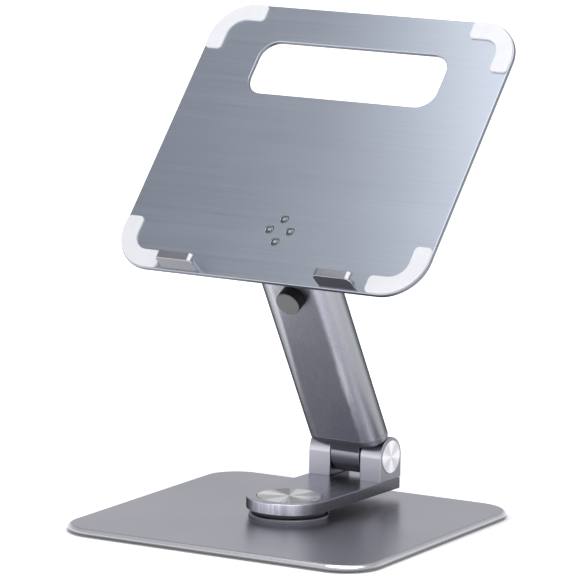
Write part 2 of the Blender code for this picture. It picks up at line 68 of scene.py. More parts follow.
# sizes in millimetres, as in the CAD part
BASE_W, BASE_D, BASE_R = 190.0, 181.7, 22.0
BASE_Z0, BASE_Z1, BASE_CHAMFER = 1.0, 4.3, 2.2
BOSS_R, BOSS_Z0, BOSS_Z1 = 22.0, 4.0, 6.8
BOLT_R = 4.0
FOOT_R, FOOT_Z0, FOOT_Z1, FOOT_BACK, DISC_R = 23.4, 9.2, 15.58, 79.0, 17.85
LOW_Y, LOW_Z = 68.0, 28.56
EAR_R, EAR_IN, EAR_OUT, CAP_R, PIN_R = 11.0, 9.6, 23.4, 9.37, 4.0
KNUCKLE_R, KNUCKLE_HALF, WASHER_IN = 11.0, 9.2, 8.0
ARM_W, ARM_T, ARM_FLAT, ARM_START, FORK_HALF = 48.0, 20.0, 24.0, 16.7, 10.2
CAVITY_W, CAVITY_T = ARM_W - 5.4, ARM_T - 5.4
BUMPER_AT, BUMPER_R, BUMPER_H = 117.0, 7.1, 7.4
PANEL_W, PANEL_H, PANEL_T, PANEL_R = 193.9, 175.0, 2.6, 24.0
PF = 14.87
FRONT, BACK, T0 = -PF, -PF + PANEL_T, -31.28
SLOT_W, SLOT_H, SLOT_R, SLOT_AT, SCREWS_AT = 119.6, 34.4, 11.0, 134.7, 32.4
HOOK_X, HOOK_W, HOOK_OUT, HOOK_TOP, HOOK_SCREW = 49.75, 23.4, 11.5, 5.9, 1.9
CORNER_LEG, CORNER_BAND, CORNER_T = 31.2, 10.4, 1.1


# ------------------------------------------------------------ mesh helpers
def round_rect(w, d, r, seg, inset=0.0, cx=0.0, cy=0.0):
    hx, hy, r = w / 2 - inset, d / 2 - inset, max(r - inset, 0.05)
    pts = []
    for sx, sy, a0 in ((1, 1, 0), (-1, 1, 90), (-1, -1, 180), (1, -1, 270)):
        for k in range(seg + 1):
            a = math.radians(a0 + 90.0 * k / seg)
            pts.append((cx + sx * (hx - r) + r * math.cos(a), cy + sy * (hy - r) + r * math.sin(a)))
    return pts


def stadium(w, t, seg, inset=0.0):
    """Section of the arm: flat front and back, half-oval sides; w along x, t along y."""
    c = ARM_FLAT / 2
    a, r = w / 2 - c - inset, t / 2 - inset
    pts = []
    for s, a0 in ((1, -90), (-1, 90)):
        for k in range(seg + 1):
            q = math.radians(a0 + 180.0 * k / seg)
            pts.append((s * c + a * math.cos(q), r * math.sin(q)))
    return pts


def circle(r, n):
    return [(r * math.cos(2 * math.pi * k / n), r * math.sin(2 * math.pi * k / n)) for k in range(n)]


def loft(rings):
    bm = bmesh.new()
    rows = [[bm.verts.new(p) for p in ring] for ring in rings]
    n = len(rows[0])
    for a, b in zip(rows, rows[1:]):
        for k in range(n):
            bm.faces.new((a[k], a[(k + 1) % n], b[(k + 1) % n], b[k]))
    bm.faces.new(list(reversed(rows[0])))
    bm.faces.new(rows[-1])
    bmesh.ops.recalc_face_normals(bm, faces=bm.faces)
    return bm


def stack(shape, steps):
    return loft([[(x, y, z) for x, y in shape(i)] for z, i in steps])


def lathe(profile, n=96):
    bm = bmesh.new()
    rows = []
    for r, h in profile:
        if r < 1e-9:
            rows.append([bm.verts.new((0, 0, h))])
        else:
            rows.append([bm.verts.new((r * math.cos(2 * math.pi * k / n),
                                       r * math.sin(2 * math.pi * k / n), h)) for k in range(n)])
    for a, b in zip(rows, rows[1:] + rows[:1]):
        if len(a) == 1 and len(b) == 1:
            continue
        for k in range(n):
            j = (k + 1) % n
            if len(a) == 1:
                bm.faces.new((a[0], b[j], b[k]))
            elif len(b) == 1:
                bm.faces.new((a[k], a[j], b[0]))
            else:
                bm.faces.new((a[k], a[j], b[j], b[k]))
    bmesh.ops.recalc_face_normals(bm, faces=bm.faces)
    return bm


def rod(r, z0, z1, n=64):
    return lathe([(0, z0), (r, z0), (r, z1), (0, z1)], n)


def bore(steps, n=96):
    return lathe([(0, steps[0][1])] + list(steps) + [(0, steps[-1][1])], n)


def box(x0, x1, y0, y1, z0, z1):
    return loft([[(x0, y0, z), (x1, y0, z), (x1, y1, z), (x0, y1, z)] for z in (z0, z1)])


TURNS = {"x": ((0, 0, 1), (1, 0, 0), (0, 1, 0)), "-x": ((0, 0, -1), (-1, 0, 0), (0, 1, 0)),
         "y": ((0, 1, 0), (0, 0, 1), (1, 0, 0)), "-y": ((1, 0, 0), (0, 0, -1), (0, 1, 0))}


def turn(bm, axis):
    bmesh.ops.transform(bm, matrix=Matrix(TURNS[axis]).to_4x4(), verts=bm.verts)
    bmesh.ops.recalc_face_normals(bm, faces=bm.faces)
    return bm


def shift(bm, x=0.0, y=0.0, z=0.0):
    bmesh.ops.translate(bm, vec=(x, y, z), verts=bm.verts)
    return bm


def mesh_of(name, bm):
    me = bpy.data.meshes.new(name)
    bmesh.ops.scale(bm, vec=(MM, MM, MM), verts=bm.verts)
    bm.to_mesh(me)
    bm.free()
    return me


def settle(o):
    """Turn an object's modifiers into its mesh."""
    bpy.context.view_layer.update()
    dg = bpy.context.evaluated_depsgraph_get()
    me = bpy.data.meshes.new_from_object(o.evaluated_get(dg), preserve_all_data_layers=True, depsgraph=dg)
    o.modifiers.clear()
    o.data = me


def carve(o, bms, how="DIFFERENCE"):
    """Cut shapes from, or fuse them to, o, in o's own axes."""
    tools = []
    for bm in bms:
        t = bpy.data.objects.new("tool", mesh_of("tool", bm))
        scene.collection.objects.link(t)
        t.matrix_world = o.matrix_world
        m = o.modifiers.new("b", "BOOLEAN")
        m.operation, m.solver, m.object = how, "EXACT", t
        tools.append(t)
    settle(o)
    for t in tools:
        me = t.data
        bpy.data.objects.remove(t, do_unlink=True)
        bpy.data.meshes.remove(me)


def piece(name, bm, frame_matrix, mat, nodes, cuts=(), adds=(), at=(0, 0, 0), soften=0.2, seg=2, angle=30,
          flat_on=False):
    """A fine piece that stands for one or more CAD nodes, rides on their body and hides them in its place.

    With flat_on its mesh is kept in the row's own axes, so its box is as tight as the CAD node's.
    """
    nodes = (nodes,) if isinstance(nodes, str) else nodes
    o = bpy.data.objects.new(name, mesh_of(name, bm))
    scene.collection.objects.link(o)
    o.matrix_world = frame_matrix @ Matrix.Translation(Vector(at) * MM)
    if adds:
        carve(o, adds, "UNION")
    if cuts:
        carve(o, cuts)
    o.data.materials.clear()
    o.data.materials.append(mat)
    if soften:
        b = o.modifiers.new("soften", "BEVEL")
        b.limit_method, b.angle_limit = "ANGLE", math.radians(angle)
        b.width, b.segments, b.use_clamp_overlap = soften * MM, seg, True
        b.harden_normals = False
        settle(o)
        o.data.materials.clear()
        o.data.materials.append(mat)
    if flat_on:
        o.data.transform(o.matrix_world)
        o.matrix_world = Matrix.Identity(4)
    o.data.shade_smooth()
    o.data.set_sharp_from_angle(angle=math.radians(40))
    w = o.modifiers.new("normals", "WEIGHTED_NORMAL")
    w.keep_sharp, w.weight = True, 60
    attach(o, BODY[nodes[0]])
    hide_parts(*nodes)
    return o


# ------------------------------------------------------------ finishes
class Nodes:
    """Short hand for building a material's node tree."""

    def __init__(self, name, axes=None):
        self.axes = axes
        self.mat = bpy.data.materials.new(name)
        self.mat.use_nodes = True
        self.t = self.mat.node_tree
        self.bsdf = self.t.nodes["Principled BSDF"]

    def new(self, kind, **values):
        n = self.t.nodes.new(kind)
        for k, v in values.items():
            setattr(n, k, v)
        return n

    def link(self, a, b):
        self.t.links.new(a, b)

    def coords(self, scale=(1, 1, 1)):
        """Coordinates in the piece's own axes, or in those of self.axes, stretched by scale."""
        tc = self.new("ShaderNodeTexCoord")
        mp = self.new("ShaderNodeMapping", vector_type="TEXTURE")
        mp.inputs["Scale"].default_value = tuple(1.0 / v for v in scale)
        if self.axes is not None:
            mp.inputs["Location"].default_value = self.axes.translation
            mp.inputs["Rotation"].default_value = self.axes.to_euler()
        self.link(tc.outputs["Object"], mp.inputs["Vector"])
        return mp.outputs["Vector"]

    def noise(self, vec, scale, detail=2.0, rough=0.5, distortion=0.0):
        n = self.new("ShaderNodeTexNoise")
        n.inputs["Scale"].default_value = scale
        n.inputs["Detail"].default_value = detail
        n.inputs["Roughness"].default_value = rough
        n.inputs["Distortion"].default_value = distortion
        self.link(vec, n.inputs["Vector"])
        return n.outputs["Fac"]

    def math(self, op, a, b=None, c=None, clamp=False):
        n = self.new("ShaderNodeMath", operation=op, use_clamp=clamp)
        for i, v in enumerate((a, b, c)):
            if v is None:
                continue
            if isinstance(v, (int, float)):
                n.inputs[i].default_value = v
            else:
                self.link(v, n.inputs[i])
        return n.outputs[0]

    def span(self, fac, lo, hi, f0=0.0, f1=1.0):
        n = self.new("ShaderNodeMapRange")
        n.inputs["From Min"].default_value, n.inputs["From Max"].default_value = f0, f1
        n.inputs["To Min"].default_value, n.inputs["To Max"].default_value = lo, hi
        self.link(fac, n.inputs["Value"])
        return n.outputs["Result"]

    def mix(self, fac, a, b):
        n = self.new("ShaderNodeMix", data_type="RGBA")
        for key, v in (("Factor", fac), ("A", a), ("B", b)):
            sock = [s for s in n.inputs if s.name == key and s.type == ("VALUE" if key == "Factor" else "RGBA")][0]
            if isinstance(v, (int, float)):
                sock.default_value = v
            elif isinstance(v, tuple):
                sock.default_value = (*v, 1.0) if len(v) == 3 else v
            else:
                self.link(v, sock)
        return [s for s in n.outputs if s.type == "RGBA"][0]

    def bump(self, height, strength, distance, normal=None):
        n = self.new("ShaderNodeBump")
        n.inputs["Strength"].default_value = strength
        n.inputs["Distance"].default_value = distance
        self.link(height, n.inputs["Height"])
        if normal is not None:
            self.link(normal, n.inputs["Normal"])
        return n.outputs["Normal"]

    def set(self, **values):
        names = {"color": "Base Color", "metal": "Metallic", "rough": "Roughness", "normal": "Normal",
                 "aniso": "Anisotropic", "aniso_rot": "Anisotropic Rotation", "tangent": "Tangent",
                 "tint": "Specular Tint", "spec": "Specular IOR Level", "sheen": "Sheen Weight",
                 "coat": "Coat Weight", "sss": "Subsurface Weight"}
        for k, v in values.items():
            s = self.bsdf.inputs[names[k]]
            if isinstance(v, (int, float)):
                s.default_value = v
            elif isinstance(v, tuple):
                s.default_value = (*v, 1.0) if len(v) == 3 else v
            else:
                self.link(v, s)

    def toward(self, direction, lo, hi):
        """1 where the piece's own normal points along direction (dot product over hi), 0 under lo."""
        tc = self.new("ShaderNodeTexCoord")
        dot = self.new("ShaderNodeVectorMath", operation="DOT_PRODUCT")
        self.link(tc.outputs["Normal"], dot.inputs[0])
        dot.inputs[1].default_value = direction
        return self.span(dot.outputs["Value"], 0.0, 1.0, lo, hi)

    def rim(self, amount, lo=0.55, hi=0.82):
        """Painted shade at the silhouette: amount where the surface turns away from the eye, 0 where it faces it."""
        lw = self.new("ShaderNodeLayerWeight")
        lw.inputs["Blend"].default_value = 0.5
        return self.span(lw.outputs["Facing"], 0.0, amount, lo, hi)

    def edge_wear(self, radius=0.0006):
        """1 on rounded-over edges, 0 on flats."""
        bev = self.new("ShaderNodeBevel", samples=4)
        bev.inputs["Radius"].default_value = radius
        geo = self.new("ShaderNodeNewGeometry")
        dot = self.new("ShaderNodeVectorMath", operation="DOT_PRODUCT")
        self.link(bev.outputs["Normal"], dot.inputs[0])
        self.link(geo.outputs["Normal"], dot.inputs[1])
        return self.span(dot.outputs["Value"], 1.0, 0.0, 0.93, 0.995)


def brushed(name, color, rough, along="x", aniso=0.55, tint=(1, 1, 1), streak=0.10, bump=0.05, cool=(1, 1, 1), wear=0.5,
            axes=None, across=None, wall=None):
    """Brushed anodised aluminium: long fine scratches along one of the piece's own axes.

    across is the direction over the scratches, in the piece's axes, for a piece that axes turns.
    wall is (face direction, low, high, colour, roughness) for the rim round that face; its colour is painted light:
    a lighter colour is a machined chamfer with a painted highlight, a darker one is painted shade; an optional sixth
    value is the colour of the outer wall, square to the face, as painted shade.
    """
    n = Nodes(name, axes)
    lo, hi = 14.0, 2600.0
    sc = {"x": (lo, hi, hi), "y": (hi, lo, hi), "z": (hi, hi, lo)}[along]
    fine = n.noise(n.coords(sc), 1.0, 3.0, 0.6)
    mid = n.noise(n.coords(tuple(v * 0.28 for v in sc)), 1.0, 2.0, 0.55)
    broad = n.noise(n.coords((9, 9, 9)), 1.0, 3.0, 0.55)
    scratch = n.math("ADD", n.math("MULTIPLY", fine, 0.6), n.math("MULTIPLY", mid, 0.4))
    shade = n.span(scratch, 0.0, 1.0, 0.25, 0.75)
    dark = tuple(c * (1 - streak) for c in color)
    light = tuple(min(c * k * (1 + streak), 1.0) for c, k in zip(color, cool))
    col = n.mix(shade, dark, light)
    col = n.mix(n.span(broad, 0.0, 0.10, 0.35, 0.75), col, tuple(c * 0.8 for c in color))
    if wear:
        col = n.mix(n.math("MULTIPLY", n.edge_wear(), wear), col, (0.72, 0.73, 0.76))
    r = n.math("ADD", n.span(scratch, rough * 0.88, rough * 1.14, 0.25, 0.75), n.span(broad, -0.025, 0.025, 0.3, 0.7))
    # painted light: the rim round the face takes the wall colour, a painted highlight where it is light and painted
    # shade where it is dark
    if wall:
        face = n.toward(wall[0], wall[1], wall[2])
        rim = n.mix(n.toward(wall[0], 0.12, 0.42), wall[5], wall[3]) if len(wall) > 5 else wall[3]
        col = n.mix(face, rim, col)
        r = n.math("ADD", n.math("MULTIPLY", face, r), n.math("MULTIPLY", n.math("SUBTRACT", 1.0, face), wall[4]))
    n.set(color=col, metal=1.0, aniso=aniso, tint=tint, rough=r)
    n.set(normal=n.bump(scratch, bump, 0.00004))
    if across is None:
        tan = n.new("ShaderNodeTangent", direction_type="RADIAL", axis={"x": "X", "y": "Y", "z": "Z"}[along])
        n.link(tan.outputs["Tangent"], n.bsdf.inputs["Tangent"])
    else:
        tan = n.new("ShaderNodeVectorTransform", vector_type="VECTOR", convert_from="OBJECT", convert_to="WORLD")
        tan.inputs["Vector"].default_value = across
        n.link(tan.outputs["Vector"], n.bsdf.inputs["Tangent"])
    return n.mat


def satin(name, color, rough, tint=(1, 1, 1), grain=0.05, wear=0.4, along=None, bump=0.08, rim=0.0,
          aniso=0.0, faces=(), sides=False, bands=0.0):
    """Bead-blasted anodised aluminium: fine even grain, faint cloudiness, lighter worn edges.

    faces lists (direction, low, high, factor): painted light on the walls that point along direction, a painted
    highlight for a factor over 1 and painted shade under 1. sides keeps the painted shade of the dark rim off the top;
    bands is the depth of darker upright streaks on the walls.
    """
    n = Nodes(name)
    grain_tex = n.noise(n.coords((1, 1, 1)), 5200.0, 2.0, 0.6)
    cloud = n.noise(n.coords((1, 1, 1)), 38.0, 3.0, 0.55)
    smear = n.noise(n.coords((700, 700, 12)) if along == "z" else n.coords((40, 500, 500)), 1.0, 2.0, 0.5)
    shade = n.math("ADD", n.math("MULTIPLY", grain_tex, 0.45),
                   n.math("ADD", n.math("MULTIPLY", cloud, 0.35), n.math("MULTIPLY", smear, 0.2)))
    col = n.mix(n.span(shade, 0, 1, 0.3, 0.7), tuple(c * (1 - grain) for c in color),
                tuple(min(c * (1 + grain), 1) for c in color))
    # painted light: walls facing each listed direction get a scaled copy of the colour, painted highlight over 1 and
    # painted shade under 1
    for direction, low, high, factor in faces:
        col = n.mix(n.toward(direction, low, high), col, tuple(min(c * factor, 1.0) for c in color))
    if bands:
        tall = n.span(n.noise(n.coords((300, 300, 0.5)), 1.0, 3.0, 0.6), 0.0, bands, 0.36, 0.64)
        col = n.mix(n.math("MULTIPLY", tall, n.math("SUBTRACT", 1.0, n.toward((0, 0, 1), 0.2, 0.5))), col,
                    tuple(c * 0.35 for c in color))
    if wear:
        col = n.mix(n.math("MULTIPLY", n.edge_wear(), wear), col, (0.75, 0.76, 0.80))
    if aniso:
        tan = n.new("ShaderNodeVectorTransform", vector_type="VECTOR", convert_from="OBJECT", convert_to="WORLD")
        tan.inputs["Vector"].default_value = (0, 0, 1)
        n.link(tan.outputs["Vector"], n.bsdf.inputs["Tangent"])
        n.set(aniso=aniso)
    metal = 1.0
    # painted shade: where the surface turns from the eye it is painted near black and stops being metal, a painted dark
    # silhouette
    if rim:
        edge = n.rim(rim, 0.42, 0.74)
        if sides:
            edge = n.math("MULTIPLY", edge, n.math("SUBTRACT", 1.0, n.toward((0, 0, 1), 0.2, 0.5)))
        col = n.mix(edge, col, (0.03, 0.03, 0.035))
        metal = n.math("SUBTRACT", 1.0, edge)
        n.set(spec=0.0)
    n.set(color=col, metal=metal, tint=tint, rough=n.span(shade, rough * 0.88, rough * 1.12, 0.3, 0.7),
          normal=n.bump(grain_tex, bump, 0.00003))
    return n.mat


def turned(name, color, rough=0.16, aniso=0.85, centre=(0, 0, 0), fan_at=0.0, dim=0.5):
    """Lathe-turned bright face: concentric grooves about the piece's own Z, and a painted fan of highlight and shade in
    the colour for the light they give.
    """
    n = Nodes(name)
    tc = n.new("ShaderNodeTexCoord")
    off = n.new("ShaderNodeVectorMath", operation="SUBTRACT")
    off.inputs[1].default_value = centre
    n.link(tc.outputs["Object"], off.inputs[0])
    sep = n.new("ShaderNodeSeparateXYZ")
    n.link(off.outputs["Vector"], sep.inputs["Vector"])
    rad = n.math("SQRT", n.math("ADD", n.math("POWER", sep.outputs["X"], 2.0), n.math("POWER", sep.outputs["Y"], 2.0)))
    comb = n.new("ShaderNodeCombineXYZ")
    n.link(n.math("MULTIPLY", rad, 5200.0), comb.inputs["X"])
    grooves = n.noise(comb.outputs["Vector"], 1.0, 2.0, 0.6)
    shade = n.span(grooves, 0.0, 1.0, 0.3, 0.7)
    col = n.mix(shade, tuple(c * 0.90 for c in color), tuple(min(c * 1.06, 1) for c in color))
    # painted highlight and shade: four bright sectors and four dark ones round the centre, dimmed by dim, painted into
    # the colour
    ang = n.math("ARCTAN2", sep.outputs["Y"], sep.outputs["X"])
    fan = n.math("COSINE", n.math("ADD", n.math("MULTIPLY", ang, 4.0), fan_at))
    comb2 = n.new("ShaderNodeCombineXYZ")
    n.link(n.math("COSINE", ang), comb2.inputs["X"])
    n.link(n.math("SINE", ang), comb2.inputs["Y"])
    fan = n.math("ADD", fan, n.span(n.noise(comb2.outputs["Vector"], 9.0, 3.0, 0.6), -0.7, 0.7, 0.3, 0.7))
    col = n.mix(n.span(fan, 0.0, 1.0, -0.7, 0.9), tuple(c * dim for c in color), col)
    n.set(color=col, metal=1.0, aniso=aniso, aniso_rot=0.25, rough=n.span(grooves, rough * 0.85, rough * 1.2, 0.3, 0.7),
          normal=n.bump(grooves, 0.10, 0.00003))
    tan = n.new("ShaderNodeTangent", direction_type="RADIAL", axis="Z")
    n.link(tan.outputs["Tangent"], n.bsdf.inputs["Tangent"])
    return n.mat


def silicone(name, color, rough=0.55, dust=0.04, sss=0.0, sheen=0.15, side=None, spec=0.5):
    """Moulded silicone: soft sheen, fine moulded texture, slight shade where dust settles.

    side gives a height on the piece's own Z and the colour below it, painted shade on the side wall under the lighter
    face.
    """
    n = Nodes(name)
    fine = n.noise(n.coords((1, 1, 1)), 2400.0, 2.0, 0.6)
    cloud = n.noise(n.coords((1, 1, 1)), 90.0, 3.0, 0.6)
    col = n.mix(n.span(cloud, 0, 1, 0.3, 0.7), tuple(c * (1 - dust) for c in color), tuple(min(c * (1 + dust / 2), 1) for c in color))
    # painted shade: below the side height the wall is painted near black, under the lighter face
    if side:
        tc = n.new("ShaderNodeTexCoord")
        sep = n.new("ShaderNodeSeparateXYZ")
        n.link(tc.outputs["Object"], sep.inputs["Vector"])
        col = n.mix(n.span(sep.outputs["Z"], 0.0, 1.0, side[0] - 0.0002, side[0] + 0.0003), side[1], col)
    n.set(color=col, metal=0.0, rough=n.span(fine, rough - 0.06, rough + 0.08, 0.3, 0.7), sheen=sheen, sss=sss, spec=spec,
          normal=n.bump(fine, 0.12, 0.00006))
    return n.mat


def plastic(name, color, rough=0.5):
    n = Nodes(name)
    fine = n.noise(n.coords((1, 1, 1)), 3000.0, 3.0, 0.6)
    cloud = n.noise(n.coords((1, 1, 1)), 120.0, 2.0, 0.5)
    n.set(color=n.mix(n.span(cloud, 0, 1, 0.3, 0.7), tuple(c * 0.85 for c in color), tuple(c * 1.2 for c in color)),
          metal=0.0, rough=n.span(fine, rough - 0.08, rough + 0.08, 0.3, 0.7), normal=n.bump(fine, 0.15, 0.00004))
    return n.mat


def steel(name, color=(0.56, 0.56, 0.57), rough=0.28, centre=None):
    """Zinc-plated steel with faint tooling marks; centre is the radius and colour of a lighter middle."""
    n = Nodes(name)
    marks = n.noise(n.coords((900, 900, 5200)), 1.0, 3.0, 0.6)
    cloud = n.noise(n.coords((1, 1, 1)), 260.0, 3.0, 0.6)
    col = n.mix(n.span(cloud, 0, 1, 0.3, 0.7), tuple(c * 0.82 for c in color), tuple(min(c * 1.12, 1) for c in color))
    if centre:
        tc = n.new("ShaderNodeTexCoord")
        sep = n.new("ShaderNodeSeparateXYZ")
        n.link(tc.outputs["Object"], sep.inputs["Vector"])
        rad = n.math("SQRT", n.math("ADD", n.math("POWER", sep.outputs["X"], 2.0), n.math("POWER", sep.outputs["Y"], 2.0)))
        col = n.mix(n.span(rad, 0.0, 1.0, centre[0] * 0.85, centre[0]), centre[1], col)
    n.set(color=col, metal=1.0, rough=n.span(marks, rough * 0.8, rough * 1.3, 0.3, 0.7), normal=n.bump(marks, 0.12, 0.00003))
    return n.mat


# painted light on the base edge: the machined chamfer is coloured light as a painted highlight, the outer wall dark as
# painted shade
M_BASE_TOP = brushed("base_anodised", (0.435, 0.43, 0.465), 0.30, "x", 0.25, (0.95, 0.95, 0.97), 0.06, 0.03, wear=0.0,
                     wall=((0, 0, 1), 0.86, 0.97, (0.77, 0.78, 0.79), 0.24, (0.15, 0.15, 0.16)))
# the boss is coloured darker than the base: painted shade under the foot
M_BOSS = satin("boss_anodised", (0.20, 0.20, 0.225), 0.30, (0.7, 0.7, 0.72), wear=0.2)
# painted light on the foot: the front round wall is a painted highlight, the side walls and the turned-away rim are
# painted shade
M_FOOT_MAT = satin("foot_anodised", (0.42, 0.42, 0.47), 0.26, (0.85, 0.85, 0.87), wear=0.25, rim=0.9, sides=True, bands=0.5,
                   faces=(((0.26, -0.966, 0), 0.35, 0.85, 1.95), ((1, 0, 0), 0.6, 0.95, 0.29), ((-1, 0, 0), 0.25, 0.8, 0.16)))
# painted shade on the ear walls that face the piece's +x
M_EAR = satin("ear_anodised", (0.47, 0.47, 0.515), 0.30, (0.6, 0.6, 0.62), wear=0.3, faces=(((1, 0, 0), 0.6, 0.95, 0.49),))
# painted shade on the arm: the flat front slightly darker, both sides darker, near black where it turns from the eye
M_ARM_MAT = satin("arm_anodised", (0.53, 0.54, 0.585), 0.27, (0.45, 0.45, 0.46), along="z", rim=0.85, wear=0.0, aniso=0.7,
                  faces=(((0, -1, 0), 0.985, 0.999, 0.93), ((1, 0, 0), 0.25, 0.9, 0.50), ((-1, 0, 0), 0.30, 0.8, 0.42)))
# the block is coloured darker than the arm: painted shade under the arm's collar, and near black where it turns from
# the eye
M_BLOCK = satin("block_anodised", (0.25, 0.255, 0.28), 0.34, (0.5, 0.5, 0.52), rim=0.6, wear=0.1)
# painted shade on the panel's edge walls round its front face
M_PANEL_MAT = brushed("panel_anodised", (0.396, 0.431, 0.488), 0.33, "x", 0.5, (0.9, 0.9, 0.92), 0.07, 0.04, wear=0.0,
                      axes=M_PANEL, across=tuple(M_PANEL.to_3x3() @ Vector((0, 0, 1))),
                      wall=(tuple(M_PANEL.to_3x3() @ Vector((0, -1, 0))), 0.35, 0.95, (0.17, 0.18, 0.20), 0.3))
# painted shade on the hooks' undersides
M_HOOK = satin("hook_anodised", (0.34, 0.335, 0.365), 0.26, (0.9, 0.9, 0.92), wear=0.8, faces=(((0, 0, -1), 0.7, 0.95, 0.72),))
# painted highlight and shade: fans of bright and dark sectors on the turned faces
M_DISC = turned("turned_aluminium", (0.98, 0.98, 0.99), 0.25, 0.92, dim=0.34)
M_CAP = turned("turned_cap_aluminium", (0.72, 0.72, 0.74), 0.25, 0.92, dim=0.70)
M_STEEL = steel("fastener_steel")
M_SCREW = steel("panel_screw_steel", (0.12, 0.125, 0.135), 0.30, centre=(0.00105, (0.56, 0.57, 0.58)))
M_WHITE = silicone("white_silicone", (0.535, 0.54, 0.56), 0.5, 0.03, 0.0, 0.05)
M_GREY = silicone("grey_silicone", (0.10, 0.10, 0.105), 0.62)
# painted shade: the bumper's side wall is near black under its lighter face
M_BUMP = silicone("bumper_silicone", (0.135, 0.138, 0.140), 0.60, sheen=0.0, spec=0.12,
                  side=((ARM_T / 2 + BUMPER_H - 0.75) * MM, (0.006, 0.006, 0.0065)))
M_NYLON = plastic("black_nylon", (0.022, 0.022, 0.026))

# ------------------------------------------------------------ base
c = BASE_CHAMFER
piece("base_plate_fine",
      stack(lambda i: round_rect(BASE_W, BASE_D, BASE_R, 32, i),
            [(BASE_Z0, 0.35), (BASE_Z0 + 0.12, 0.12), (BASE_Z0 + 0.35, 0.0), (BASE_Z1 - c, 0.0),
             (BASE_Z1 - 0.62 * c, 0.16 * c), (BASE_Z1 - 0.36 * c, 0.40 * c), (BASE_Z1 - 0.15 * c, 0.70 * c),
             (BASE_Z1 - 0.035 * c, 0.96 * c), (BASE_Z1, 1.22 * c)]),
      M_BASE, M_BASE_TOP, "base_plate",
      cuts=[bore([(7.4, -1), (7.4, 2.7), (BOLT_R + 0.3, 2.7), (BOLT_R + 0.3, 3.7),
                  (BOSS_R + 0.2, 3.7), (BOSS_R + 0.2, 8)])]
      + [shift(bore([(3.3, -1), (3.3, 1.5), (1.8, 2.95), (1.8, 6)], 48),
               15 * math.cos(math.radians(d)), 15 * math.sin(math.radians(d))) for d in (90, 210, 330)],
      soften=0)
piece("base_pad_fine", stack(lambda i: round_rect(BASE_W - 7, BASE_D - 7, BASE_R - 3.5, 20, i), [(0, 0.15), (0.15, 0), (0.9, 0)]),
      M_BASE, M_GREY, "base_antislip_pad", soften=0)
piece("swivel_boss_fine", lathe([(BOLT_R + 0.3, BOSS_Z0), (BOSS_R, BOSS_Z0), (BOSS_R, BOSS_Z1 - 0.7),
                                 (BOSS_R - 0.7, BOSS_Z1), (BOLT_R + 0.3, BOSS_Z1)], 160),
      M_BASE, M_BOSS, "swivel_boss", soften=0.18)
piece("swivel_washer_fine", lathe([(BOLT_R + 0.3, 6.95), (20.2, 6.95), (20.2, 9.05), (BOLT_R + 0.3, 9.05)], 128),
      M_BASE, M_NYLON, "swivel_washer", soften=0.15)


# ------------------------------------------------------------ foot
def foot_outline(i, seg=96, rc=1.6):
    r, xb, yb = FOOT_R - i, FOOT_R - i, FOOT_BACK - i
    pts = [(r * math.cos(math.pi + math.pi * k / seg), r * math.sin(math.pi + math.pi * k / seg)) for k in range(seg + 1)]
    rr = max(rc - i, 0.25)
    for sx, a0 in ((1, 0), (-1, 90)):
        for k in range(9):
            a = math.radians(a0 + 90.0 * k / 8)
            pts.append((sx * (xb - rr) + rr * math.cos(a), yb - rr + rr * math.sin(a)))
    return pts


screw_xy = [(s * 14.4, y) for s in (-1, 1) for y in (LOW_Y - 6.6, LOW_Y + 6.6)]
piece("foot_plate_fine",
      stack(foot_outline, [(FOOT_Z0, 0.45), (FOOT_Z0 + 0.13, 0.13), (FOOT_Z0 + 0.45, 0), (FOOT_Z1 - 0.6, 0),
                           (FOOT_Z1 - 0.3, 0.09), (FOOT_Z1 - 0.09, 0.3), (FOOT_Z1, 0.6)]),
      M_FOOT, M_FOOT_MAT, "foot_plate",
      cuts=[bore([(BOLT_R + 0.35, 5), (BOLT_R + 0.35, 11.0), (12.0, 11.0), (12.0, 14.0), (DISC_R + 0.22, 14.0), (DISC_R + 0.22, 20)], 128)]
      + [shift(bore([(3.4, 8), (3.4, 9.9), (1.8, 11.6), (1.8, 18)], 40), x, y) for x, y in screw_xy], soften=0)


def dished(r, z0, z1, edge=0.4, dish=0.18):
    """A turned disc: rounded rim, face very slightly dished towards its centre."""
    return [(0, z0), (r, z0), (r, z1 - edge), (r - edge * 0.3, z1 - edge * 0.3), (r - edge, z1),
            (r - edge - 0.5, z1 - dish * 0.35), (r * 0.5, z1 - dish * 0.8), (0, z1 - dish)]


piece("foot_disc_fine", lathe(dished(DISC_R, 14.3, FOOT_Z1 + 0.2), 160), M_FOOT, M_DISC, "foot_disc_cap", soften=0)


def ear_profile(i, seg=48):
    r = EAR_R - i
    pts = [(LOW_Y - r, FOOT_Z1 + 0.06 + i * 0.3), (LOW_Y + r, FOOT_Z1 + 0.06 + i * 0.3)]
    return pts + [(LOW_Y + r * math.cos(math.pi * k / seg), LOW_Z + r * math.sin(math.pi * k / seg)) for k in range(seg + 1)]


